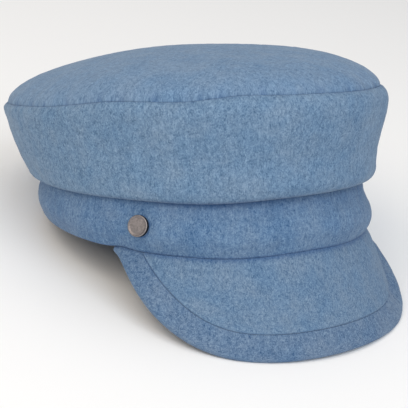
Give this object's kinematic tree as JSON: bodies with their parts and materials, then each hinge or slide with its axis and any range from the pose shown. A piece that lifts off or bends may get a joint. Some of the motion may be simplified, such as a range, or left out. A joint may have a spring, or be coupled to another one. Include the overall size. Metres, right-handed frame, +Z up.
{
  "type": "skipper cap",
  "caption": "Skipper cap of blue wool felt with a domed top, a flared crown wall, a plain band, a bound peak and a side button.",
  "frame": {"origin": "middle of the cap's outline on the surface that it stands on", "axes": "-Y towards the peak, -X towards the wearer's right and the button, +Z up"},
  "size_m": [0.204, 0.2734, 0.1357],
  "materials": {
    "wool_felt": "muted blue felted wool with a soft nap and a fine heather",
    "button_metal": "dull pewter with a brighter rim"
  },
  "bodies": {
    "root": {"crown_top": "wool_felt", "crown_side": "wool_felt", "band": "wool_felt", "peak_panel": "wool_felt", "peak_border": "wool_felt", "side_button": "button_metal"}
  },
  "joints": []
}
